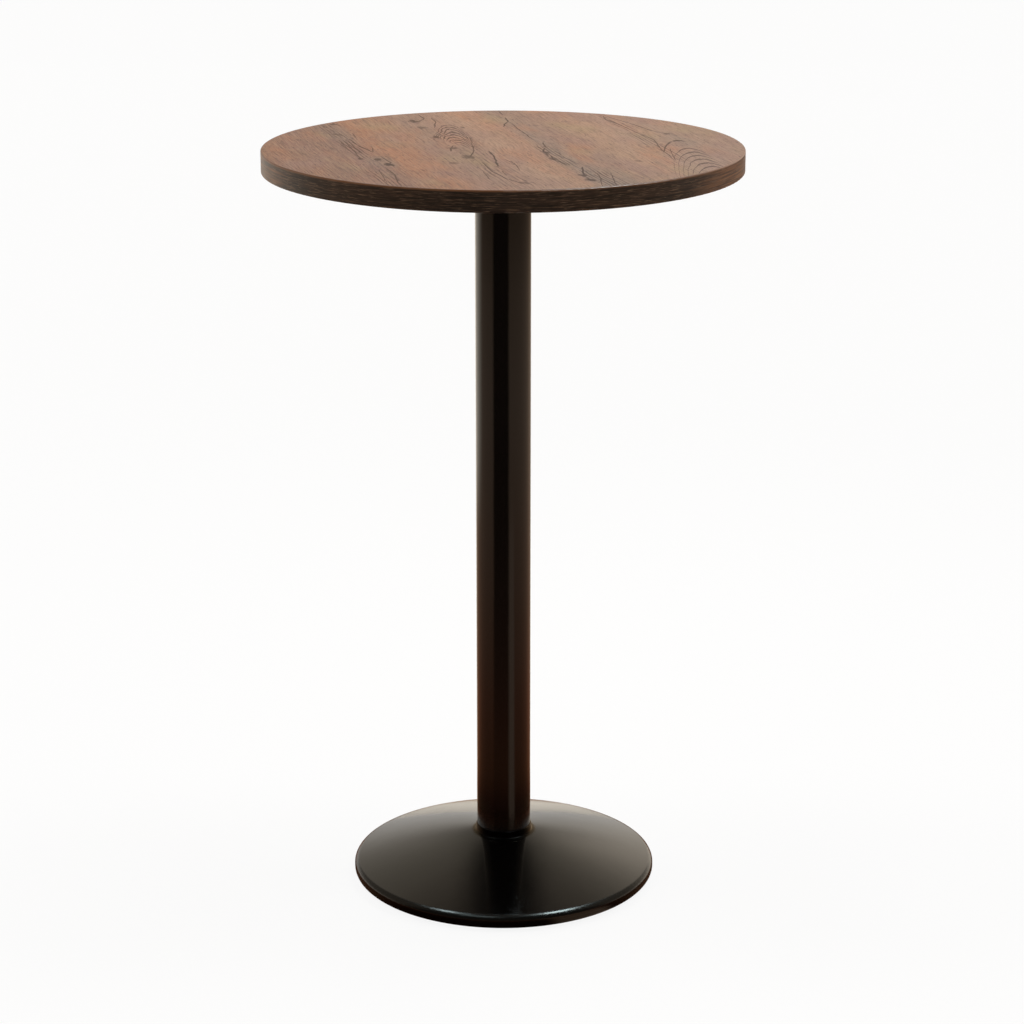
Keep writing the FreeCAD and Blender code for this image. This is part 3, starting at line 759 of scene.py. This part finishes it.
# dark cracks: half width, strength, then stops across and along the grain, back to front
STROKES = (
    (0.0014, 0.95, (-0.195, 0.130), (-0.195, 0.075), (-0.190, 0.030), (-0.186, 0.000)),
    (0.0009, 0.80, (-0.178, 0.050), (-0.187, -0.002)),
    (0.0011, 0.80, (-0.201, 0.118), (-0.203, -0.025)),
    (0.0012, 0.85, (-0.206, 0.128), (-0.208, 0.040), (-0.214, -0.052)),
    (0.0008, 0.65, (-0.212, 0.105), (-0.216, 0.000)),
    (0.0015, 0.85, (-0.192, 0.285), (-0.187, 0.255), (-0.180, 0.238)),
    (0.0012, 0.70, (-0.211, 0.270), (-0.204, 0.220), (-0.203, 0.150)),
    (0.0012, 0.60, (-0.179, 0.178), (-0.184, 0.132)),
    (0.0013, 0.80, (-0.183, -0.038), (-0.180, -0.085), (-0.188, -0.112)),
    (0.0012, 0.80, (-0.196, -0.112), (-0.195, -0.180), (-0.204, -0.240), (-0.206, -0.29)),
    (0.0010, 0.70, (-0.206, -0.125), (-0.220, -0.245)),
    (0.0013, 0.90, (-0.048, 0.330), (-0.049, 0.280), (-0.070, 0.244)),
    (0.0013, 0.85, (-0.036, 0.290), (-0.040, 0.248), (-0.055, 0.188)),
    (0.0015, 0.50, (-0.076, 0.105), (-0.080, 0.080), (-0.069, 0.050)),
    (0.0017, 0.85, (-0.064, 0.034), (-0.074, 0.010), (-0.080, -0.018)),
    (0.0015, 0.90, (-0.037, 0.034), (-0.046, -0.018), (-0.064, -0.066), (-0.078, -0.092)),
    (0.0018, 0.95, (-0.027, -0.020), (-0.031, -0.070), (-0.041, -0.120), (-0.047, -0.160)),
    (0.0013, 0.90, (-0.058, -0.104), (-0.064, -0.190), (-0.059, -0.245), (-0.044, -0.305)),
    (0.0012, 0.80, (-0.024, -0.095), (-0.018, -0.135), (-0.026, -0.196)),
    (0.0012, 0.75, (-0.050, -0.186), (-0.053, -0.226)),
    (0.0011, 0.75, (-0.077, -0.186), (-0.082, -0.250)),
    (0.0010, 0.75, (-0.023, 0.100), (-0.037, 0.032)),
    (0.0012, 0.80, (0.077, 0.335), (0.073, 0.286)),
    (0.0017, 0.95, (0.072, 0.268), (0.067, 0.224), (0.053, 0.198), (0.046, 0.172)),
    (0.0011, 0.90, (0.067, 0.218), (0.061, 0.140), (0.057, 0.042)),
    (0.0015, 0.90, (0.065, 0.028), (0.058, -0.016)),
    (0.0018, 0.95, (0.056, -0.020), (0.045, -0.048), (0.042, -0.090)),
    (0.0013, 0.85, (0.055, -0.048), (0.063, -0.066), (0.061, -0.086)),
    (0.0018, 0.95, (0.045, -0.086), (0.041, -0.120), (0.048, -0.166)),
    (0.0011, 0.80, (0.049, -0.070), (0.062, -0.120), (0.061, -0.170)),
    (0.0018, 0.95, (0.063, -0.182), (0.053, -0.222), (0.045, -0.258)),
    (0.0015, 0.90, (0.042, -0.250), (0.047, -0.267), (0.045, -0.293)),
    (0.0010, 0.95, (0.069, -0.228), (0.062, -0.275), (0.046, -0.340)),
    (0.0010, 0.95, (0.086, -0.236), (0.077, -0.285), (0.066, -0.340)),
    (0.0013, 0.90, (0.219, 0.246), (0.211, 0.204), (0.218, 0.126), (0.221, 0.050)),
    (0.0013, 0.90, (0.221, 0.232), (0.236, 0.155), (0.244, 0.090), (0.260, 0.046)),
    (0.0013, 0.85, (0.220, 0.075), (0.224, 0.005), (0.210, -0.072), (0.199, -0.170)),
    (0.0010, 0.85, (0.226, -0.066), (0.213, -0.110), (0.200, -0.172)),
)
# knots: across and along the grain, size, strength
KNOTS = (
    (-0.192, 0.262, 0.0055, 0.75),
    (-0.203, 0.165, 0.0080, 0.50),
    (-0.214, -0.045, 0.0045, 0.80),
    (-0.192, -0.056, 0.0065, 0.75),
    (-0.187, -0.100, 0.0075, 0.90),
    (-0.070, 0.258, 0.0080, 0.85),
    (-0.073, 0.196, 0.0070, 0.50),
    (-0.071, 0.109, 0.0070, 0.85),
    (-0.014, 0.186, 0.0045, 0.60),
    (-0.070, 0.010, 0.0080, 0.70),
    (-0.066, -0.068, 0.0100, 0.65),
    (-0.097, -0.111, 0.0060, 0.45),
    (-0.045, -0.284, 0.0070, 0.50),
    (0.046, -0.060, 0.0055, 0.85),
    (0.043, -0.112, 0.0065, 0.80),
    (0.046, -0.248, 0.0060, 0.85),
    (0.046, -0.285, 0.0070, 0.90),
    (0.258, 0.054, 0.0050, 0.60),
    (0.150, -0.160, 0.0060, 0.40),
)


def rustic_oak():
    finish = Finish("rustic_oak_laminate")
    x, y, _ = finish.place()
    across = x * math.cos(GRAIN_TURN) + y * math.sin(GRAIN_TURN)
    along = y * math.cos(GRAIN_TURN) - x * math.sin(GRAIN_TURN)
    drift = finish.noise(finish.point(across * 5, along * 2.4), 1, 2) - 0.5
    tremor = finish.noise(finish.point(across * 34, along * 15), 1, 2) - 0.5
    jitter = finish.noise(finish.point(across * 150, along * 60), 1, 2) - 0.5
    grain = across + drift * 0.022 + tremor * 0.0045 + jitter * 0.0012

    # the boards, and over them patches that are more orange, more mauve and more olive
    ramp_place = (grain + TOP_RADIUS) / (2 * TOP_RADIUS)
    tone = finish.node("ShaderNodeValToRGB", {"stops": BOARD_TONES}, {0: ramp_place})
    patches = finish.noise(finish.point(grain * 15, along * 5), 1, 3, 0.55)
    tone = finish.mix(patches.fade(0.45, 0.75) * 0.8, tone, paint(176, 112, 74))
    clouds = finish.noise(finish.point(across * 13 + 7, along * 6), 1, 3, 0.55)
    tone = finish.mix(clouds.fade(0.45, 0.72) * 0.8, tone, paint(145, 107, 96))
    glades = finish.noise(finish.point(across * 12 + 3, along * 5 + 2), 1, 2, 0.55)
    tone = finish.mix(glades.fade(0.5, 0.75) * 0.7, tone, paint(156, 131, 92))

    # dark figure, drawn as contour lines that run with the grain
    def lines(field, pitch, width):
        """Thin lines, one to each pitch of a field, with a width as a share of the pitch."""
        wave = (field / pitch).math("PINGPONG", 0.5)
        return wave.fade(width, 0.0)

    broken = finish.noise(finish.point(across * 120, along * 26), 1, 3, 0.6)
    ragged = broken.fade(0.28, 0.6)

    def spread(left, far, width, length):
        """The squared distance from one place, where width and length count as 1."""
        sideways, lengthways = (across - left) / width, (along - far) / length
        return sideways * sideways + lengthways * lengthways

    def haze(left, far, half_width, half_length):
        """A soft patch about one place."""
        return (spread(left, far, half_width, half_length) + tremor).fade(1.1, 0.1)

    def bundle(centre, start, end, half_width, pitch, strength):
        """A bundle of dark lines about one line of the grain, between two places along it."""
        off_centre = abs(grain - centre)
        shown = off_centre.fade(half_width, half_width * 0.5) * along.between(end, start, 0.03)
        return lines(grain, pitch, 0.32) * shown * ragged * strength

    def stroke(width, strength, *stops):
        """A dark crack through (across, along) places, tapered at both ends."""
        middle = tremor * 0.005 + jitter * 0.0028 + stops[0][0]
        for (left, far), (right, near) in zip(stops, stops[1:]):
            middle = middle + along.slide(far, near) * (right - left)
        first, last = stops[0][1], stops[-1][1]
        fade_length = (first - last) * 0.2
        taper = along.between(last + fade_length, first - fade_length, fade_length)
        body = abs(across - middle) / ((taper * 0.7 + broken * 0.6) * width + 0.0001)
        return body.fade(1.0, 0.35) * taper.fade(0.0, 0.3) * strength

    def knot(left, far, size, strength):
        """A ragged dark knot, a little drawn out along the grain."""
        reach = spread(left, far, size, size * 1.7).math("SQRT") + jitter * 1.9 + tremor
        return reach.fade(1.1, 0.5) * strength

    shadow = haze(*HAZES[0])
    for given in HAZES[1:]:
        shadow = shadow.largest(haze(*given))
    dark = stroke(*STROKES[0])
    for given in STROKES[1:]:
        dark = dark.largest(stroke(*given))
    dark = dark * (broken.fade(0.15, 0.5) * 0.6 + 0.4)
    for given in BUNDLES:
        dark = dark.largest(bundle(*given))
    for given in KNOTS:
        dark = dark.largest(knot(*given))

    # curly figure left of the middle: crowded arches that lean to the right, open to the front
    lean = across + 0.040 - (along - 0.14) * 0.16 + tremor * 0.006
    side_slope = lean.fade(-0.004, 0.004) * 60 + 130
    crown = 0.212 - along - side_slope * lean * lean + tremor * 0.045 + jitter * 0.018
    shown = crown.fade(-0.008, 0.004) * lean.between(-0.031, 0.026, 0.006)
    curls = lines(crown, 0.0225, 0.27) * shown * (along + lean * 2.2).fade(0.02, 0.07)
    dark = dark.largest(curls * broken.fade(0.12, 0.42))

    # cathedral at the right: tall nested arches with flat tops, open to the front
    off_axis = across - 0.2486 - (along + 0.077) * 0.1 + tremor * 0.002
    steepness = off_axis.fade(-0.003, 0.003) * 120 + 52
    arch = along * -1 - 0.077 - steepness * off_axis * off_axis + tremor * 0.014
    within = arch.fade(-0.008, 0.002) * off_axis.between(-0.06, 0.013, 0.005)
    breadth = abs(off_axis).fade(0.024, 0.004) * 0.13 + 0.09
    arches = lines(arch, 0.03, breadth) * within * broken.fade(0.1, 0.4) * 0.95
    outer = abs(arch + 0.068).fade(0.0065, 0.001) * off_axis.between(-0.038, 0.004, 0.006)
    dark = dark.largest(arches).largest(outer * broken.fade(0.2, 0.45) * 0.9)

    # fibres, threads and pores, all drawn out along the grain
    def drawn_out(right, far, detail, roughness=0.6):
        return finish.noise(finish.point(right, far), 1, detail, roughness)

    fibres = drawn_out(grain * 520, along * 14, 3)
    threads = drawn_out(grain * 250 + 5, along * 13, 2).fade(0.52, 0.68)
    dashes = drawn_out(grain * 330 + 2, along * 48, 2).fade(0.58, 0.70)
    flecks = drawn_out(grain * 700, along * 36 + 9, 2).fade(0.55, 0.72)
    pores = drawn_out(grain * 1500, along * 70, 1, 0.5).fade(0.62, 0.72)
    soft_lines = lines(grain + (patches - 0.5) * 0.02, 0.0045, 0.4) * ragged

    # laid over the boards, the softest first
    tone = finish.mix(shadow * 0.5, tone, paint(124, 108, 96))
    tone = finish.mix(fibres.fade(0.3, 0.7) * 0.45, tone, paint(198, 162, 134))
    tone = finish.mix(soft_lines * 0.25, tone, paint(104, 80, 66))
    tone = finish.mix(threads * 0.42, tone, paint(108, 82, 66))
    tone = finish.mix(dashes * 0.6, tone, paint(86, 60, 44))
    tone = finish.mix(flecks * 0.6, tone, paint(98, 70, 54))
    tone = finish.mix(pores * 0.4, tone, paint(88, 68, 56))
    tone = finish.mix(dark * 0.88, tone, paint(64, 38, 22))
    relief = fibres * 0.3 - pores * 0.5
    return finish.surface(
        Base_Color=tone,
        Roughness=0.56 + 0.08 * fibres + 0.12 * dark,
        IOR=1.3,
        Normal=finish.relief(relief, 0.00016),
    )


give(["top_laminate"], rustic_oak())

# ------------------------------------------------------------------ edge band
# A 2 mm plastic band, printed as smoked oak with its grain running round the edge, is glued on
# hot and its corners are scraped round.  Its two ends meet in a fine seam at the back.


def smoked_oak_band():
    finish = Finish("smoked_oak_edge_band")
    x, y, z = finish.place()
    low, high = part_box("edge_band")
    run = x.math("ARCTAN2", y * -1) * high.x
    height = z - low.z
    sway = finish.noise(finish.point(run * 6, height * 30), 1, 2) - 0.5
    level = height + sway * 0.004
    streaks = finish.noise(finish.point(run * 11, level * 420), 1, 4, 0.65)
    threads = finish.noise(finish.point(run * 34 + 3, level * 900), 1, 2)
    dashes = finish.noise(finish.point(run * 42 + 8, level * 1100), 1, 3, 0.6)
    clouds = finish.noise(finish.point(run * 7, height * 60), 1, 2)
    # painted light and shade: the band is painted lighter and warmer on both sides and darker
    # round the front and the back
    painted_lit_sides = x.fade(0.24, 0.32).largest(x.fade(-0.27, -0.34) * 0.8)
    deep = finish.mix(painted_lit_sides, paint(20, 12, 9), paint(62, 34, 18))
    mild = finish.mix(painted_lit_sides, paint(66, 45, 33), paint(156, 102, 62))
    tone = finish.mix(streaks.fade(0.36, 0.7), deep, mild)
    tone = finish.mix(threads.fade(0.56, 0.68) * 0.65, tone, paint(116, 88, 68))
    tone = finish.mix(dashes.fade(0.58, 0.70) * 0.7, tone, paint(140, 112, 90))
    tone = finish.mix(clouds.fade(0.5, 0.8) * 0.4, tone, paint(18, 12, 9))
    # painted highlight: the rounded upper corner is painted paler, where it catches the light
    corner = z.fade(high.z - 0.0036, high.z - 0.0012)
    tone = finish.mix(corner * 0.85, tone, paint(128, 82, 52))
    seam = abs(x).fade(0.0004, 0.00015) * y.fade(0.0, 0.1)
    tone = finish.mix(seam, tone, paint(18, 15, 13))
    return finish.surface(
        Base_Color=tone,
        Roughness=0.36 + 0.14 * streaks,
        IOR=1.42,
        Specular_Tint=(1.0, 0.86, 0.70, 1.0),
        Normal=finish.relief(streaks * 0.6 + threads * 0.3 - seam, 0.00015),
    )


give(["edge_band"], smoked_oak_band())

# ------------------------------------------------------------------ studio
# A pale floor that carries the table's shadow, a pale surround that dims overhead, a row of
# soft overhead lights and one from behind.  A brown card and soft boxes show in reflections.
FLOOR_REACH = 60.0
CARD_REACH, CARD_HEIGHT = 9.0, 0.001
BOX_HEIGHT = 3.0
BOX_COLOUR = (0.62, 0.85, 1.0, 1)
LAMP_COLOUR = (1.0, 0.97, 0.92)
LAMP_WIDTH = 14  # in degrees
BACK_POWER, BACK_SIZE = 10.0, 1.0
BACK_PLACE, BACK_AIM = Vector((0.40, 1.30, 2.00)), Vector((0.0, 0.0, 1.10))


def floor_paint():
    """Pale paint that shows almost as plain white, and is clear from below."""
    finish = Finish("studio_floor")
    looks = {"Base Color": (0.97, 0.98, 1.0, 1), "Roughness": 0.9, "Specular IOR Level": 0.1}
    skin = finish.node("ShaderNodeBsdfPrincipled", {}, looks)
    white = finish.node("ShaderNodeEmission", {}, {"Color": (1.0, 1.0, 1.0, 1)})
    seen, *others = [
        finish.node("ShaderNodeLightPath", {}, {}, f"Is {kind} Ray")
        for kind in ("Camera", "Glossy", "Transmission")
    ]
    for other in others:
        seen = seen.largest(other)
    pale = finish.node("ShaderNodeMixShader", {}, {0: seen * 0.9, 1: skin, 2: white})
    clear = finish.node("ShaderNodeBsdfTransparent", {}, {})
    below = finish.node("ShaderNodeNewGeometry", {}, {}, "Backfacing")
    both = finish.node("ShaderNodeMixShader", {}, {0: below, 1: pale, 2: clear})
    finish.node("ShaderNodeOutputMaterial", {}, {"Surface": both})
    return finish.material


def sheet_of(name, corners, material):
    """A flat stage piece through given corners."""
    bm = bmesh.new()
    bm.faces.new([bm.verts.new(corner) for corner in corners])
    mesh = bpy.data.meshes.new(name)
    bm.to_mesh(mesh)
    bm.free()
    mesh.materials.append(material)
    made = bpy.data.objects.new(name, mesh)
    bpy.context.scene.collection.objects.link(made)
    made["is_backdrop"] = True
    return made


def square(reach, height):
    """The corners of a level square about the middle."""
    return [(x * reach, y * reach, height) for x, y in ((-1, -1), (1, -1), (1, 1), (-1, 1))]


sheet_of("studio_floor", square(FLOOR_REACH, 0.0), floor_paint())


def brown_card():
    """A sheet seen only in reflections, painted with the reflections it gives: brown for the
    most part, dark in front and, as painted shade, round the foot, and pale behind the foot
    and far to the left.

    Its tones change with the distance from the table's axis, on a scale that goes from 0 at
    0.25 m to 1 at 8 m and doubles the distance every 0.2, and with the heading, which is 0
    towards the front and grows to the right.
    """
    finish = Finish("studio_brown_card")
    x, y, _ = finish.place()
    reach = (x * x + y * y).math("SQRT")
    distance = (reach.math("LOGARITHM", 2.0) + 2) / 5
    by_distance = (
        (0.00, (0.05, 0.02, 0.01, 1)),
        (0.09, (0.18, 0.07, 0.04, 1)),
        (0.17, (0.34, 0.14, 0.07, 1)),
        (0.31, (0.40, 0.17, 0.10, 1)),
        (0.46, (0.42, 0.24, 0.16, 1)),
        (0.59, (0.49, 0.33, 0.24, 1)),
        (0.71, (0.53, 0.39, 0.30, 1)),
        (0.81, (0.49, 0.36, 0.27, 1)),
        (0.90, (0.28, 0.19, 0.13, 1)),
        (1.00, (0.16, 0.11, 0.07, 1)),
    )
    tone = finish.node("ShaderNodeValToRGB", {"stops": by_distance}, {0: distance})
    heading = x.math("ARCTAN2", y * -1)
    beside = abs(heading).fade(0.7, 1.2) * distance.fade(0.10, 0.05)
    tone = finish.mix(beside, tone, (0.14, 0.07, 0.04, 1))
    streak = heading.between(0.42, 0.72, 0.14) * distance.fade(0.61, 0.55)
    tone = finish.mix(streak * 0.8, tone, (0.62, 0.46, 0.36, 1))
    front = heading.between(-0.62, 0.28, 0.22) * (0.88 - distance.fade(0.65, 0.05) * 0.6)
    tone = finish.mix(front, tone, (0.0, 0.0, 0.0, 1))
    afar = distance.fade(0.35, 0.62)
    left = finish.mix(afar, (0.40, 0.24, 0.14, 1), (1.0, 0.86, 0.72, 1))
    right = finish.mix(afar, (0.28, 0.14, 0.08, 1), (0.34, 0.25, 0.19, 1))
    sides = abs(heading).fade(2.45, 2.80) * distance.fade(0.95, 0.80)
    tone = finish.mix(sides, tone, finish.mix(heading.fade(-0.1, 0.1), left, right))
    far_left = heading.fade(-1.6, -2.3) * distance.fade(0.55, 0.72) * 0.75
    tone = finish.mix(far_left, tone, (1.0, 0.92, 0.80, 1))
    behind = abs(heading).fade(2.66, 2.88) * distance.fade(0.08, 0.16)
    tone = finish.mix(behind.largest(far_left), tone, (1.0, 0.95, 0.87, 1))
    return finish.surface(
        Base_Color=tone,
        Roughness=1.0,
        Specular_IOR_Level=0.0,
        # painted glow: the card glows faintly in its own tones, and most far to the left
        Emission_Color=finish.mix(far_left, tone, (1.6, 1.4, 1.2, 1)),
        Emission_Strength=0.35,
    )


def soft_box(name, strength):
    """An even glow."""
    finish = Finish(name)
    glow = finish.node("ShaderNodeEmission", {}, {"Color": BOX_COLOUR, "Strength": strength})
    finish.node("ShaderNodeOutputMaterial", {}, {"Surface": glow})
    return finish.material


# soft boxes: name, strength and the corners, seen from above
SOFT_BOXES = (
    ("left", 22.0, ((-0.68, 1.05), (-0.96, 1.25), (-1.50, -0.32), (-1.20, -0.50))),
    ("middle", 2.5, ((-1.20, -0.50), (-1.10, -1.20), (-0.30, -1.50), (-0.20, -0.70))),
    ("right", 30.0, ((0.55, 1.00), (1.10, 1.30), (1.55, -0.05), (1.45, -0.42), (0.95, -0.62))),
)
card = sheet_of("studio_brown_card", square(CARD_REACH, CARD_HEIGHT), brown_card())
reflected = [card]
for box_name, strength, corners in SOFT_BOXES:
    name = f"studio_soft_box_{box_name}"
    raised = [(*corner, BOX_HEIGHT) for corner in corners]
    reflected.append(sheet_of(name, raised, soft_box(name, strength)))
for made in reflected:
    made.visible_camera = False
    made.visible_diffuse = False
    made.visible_shadow = False
    made.visible_transmission = False

world = bpy.data.worlds.new("studio_surround")
bpy.context.scene.world = world
world.use_nodes = True


class Surround(Finish):
    """The world's nodes, built in the same way as a material's."""

    def __init__(self, world):
        self.tree = world.node_tree
        self.tree.nodes.clear()


surround = Surround(world)
towards = surround.node("ShaderNodeTexCoord", {}, {}, "Generated")
side, depth, upwards = [
    surround.node("ShaderNodeSeparateXYZ", {}, {0: towards}, axis) for axis in "XYZ"
]
# from the horizon to overhead
SURROUND_STOPS = (
    (0.00, (1.00, 0.97, 0.93, 1)),
    (0.17, (1.00, 0.95, 0.87, 1)),
    (0.34, (0.80, 0.74, 0.65, 1)),
    (0.50, (0.72, 0.67, 0.57, 1)),
    (0.68, (0.66, 0.61, 0.52, 1)),
    (0.77, (0.52, 0.47, 0.40, 1)),
    (0.82, (0.38, 0.34, 0.29, 1)),
    (1.00, (0.30, 0.27, 0.24, 1)),
)
glow = surround.node("ShaderNodeValToRGB", {"stops": SURROUND_STOPS}, {0: upwards})
# brighter behind on the right; dim behind in the middle, in front, overhead and at the sides
window = side.fade(0.08, 0.32) * upwards.fade(0.78, 0.36) * depth.fade(0.3, 0.7)
glow = surround.mix(window, glow, (1.60, 1.45, 1.24, 1))
off_middle = abs(side / depth)
gap = off_middle.fade(0.26, 0.10) * upwards.fade(0.2, 0.5)
dim = gap.largest(depth.fade(0.15, -0.25)).largest(upwards.fade(0.82, 0.92))
dim = dim.largest(off_middle.fade(0.48, 0.65) * upwards.fade(0.15, 0.35) * 0.6)
glow = surround.mix(dim * 0.9, glow, (0.02, 0.02, 0.02, 1))
sky = surround.node("ShaderNodeBackground", {}, {"Color": glow, "Strength": 1.0})
surround.node("ShaderNodeOutputWorld", {}, {"Surface": sky})


def studio_lamp(name, kind, energy, direction):
    """A lamp that shines from a direction and doesn't show in reflections."""
    lamp = bpy.data.lights.new(name, kind)
    lamp.energy = energy
    lamp.color = LAMP_COLOUR
    made = bpy.data.objects.new(name, lamp)
    made.rotation_euler = Vector(direction).to_track_quat("Z", "Y").to_euler()
    made.visible_glossy = False
    bpy.context.scene.collection.objects.link(made)
    return made


# lights in a row overhead: direction sideways, strength
LAMP_ROW = ((-0.48, 0.46), (-0.22, 0.31), (0.05, 0.29), (0.28, 0.32), (0.52, 0.50))
for number, (sideways, strength) in enumerate(LAMP_ROW, start=1):
    above = studio_lamp(f"studio_light_{number}", "SUN", strength, (sideways, 0.05, 0.90))
    above.data.angle = math.radians(LAMP_WIDTH)

behind = studio_lamp("studio_back_light", "AREA", BACK_POWER, BACK_PLACE - BACK_AIM)
behind.location = BACK_PLACE
behind.data.size = BACK_SIZE

CAMERA_DISTANCE, CAMERA_HEIGHT = 3.939, 1.7503
CAMERA_PITCH, CAMERA_YAW = math.radians(16.753), math.radians(-0.182)
SENSOR_WIDTH, FOCAL_LENGTH = 36.0, 99.07
camera_data = bpy.data.cameras.new("camera")
camera_data.sensor_width = SENSOR_WIDTH
camera_data.lens = FOCAL_LENGTH
camera_data.clip_end = 200.0
camera = bpy.data.objects.new("camera", camera_data)
camera.location = (0, -CAMERA_DISTANCE, CAMERA_HEIGHT)
camera.rotation_euler = (math.pi / 2 - CAMERA_PITCH, 0, CAMERA_YAW)
bpy.context.scene.collection.objects.link(camera)
bpy.context.scene.camera = camera
bpy.context.scene.view_settings.view_transform = "Standard"

low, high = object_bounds()
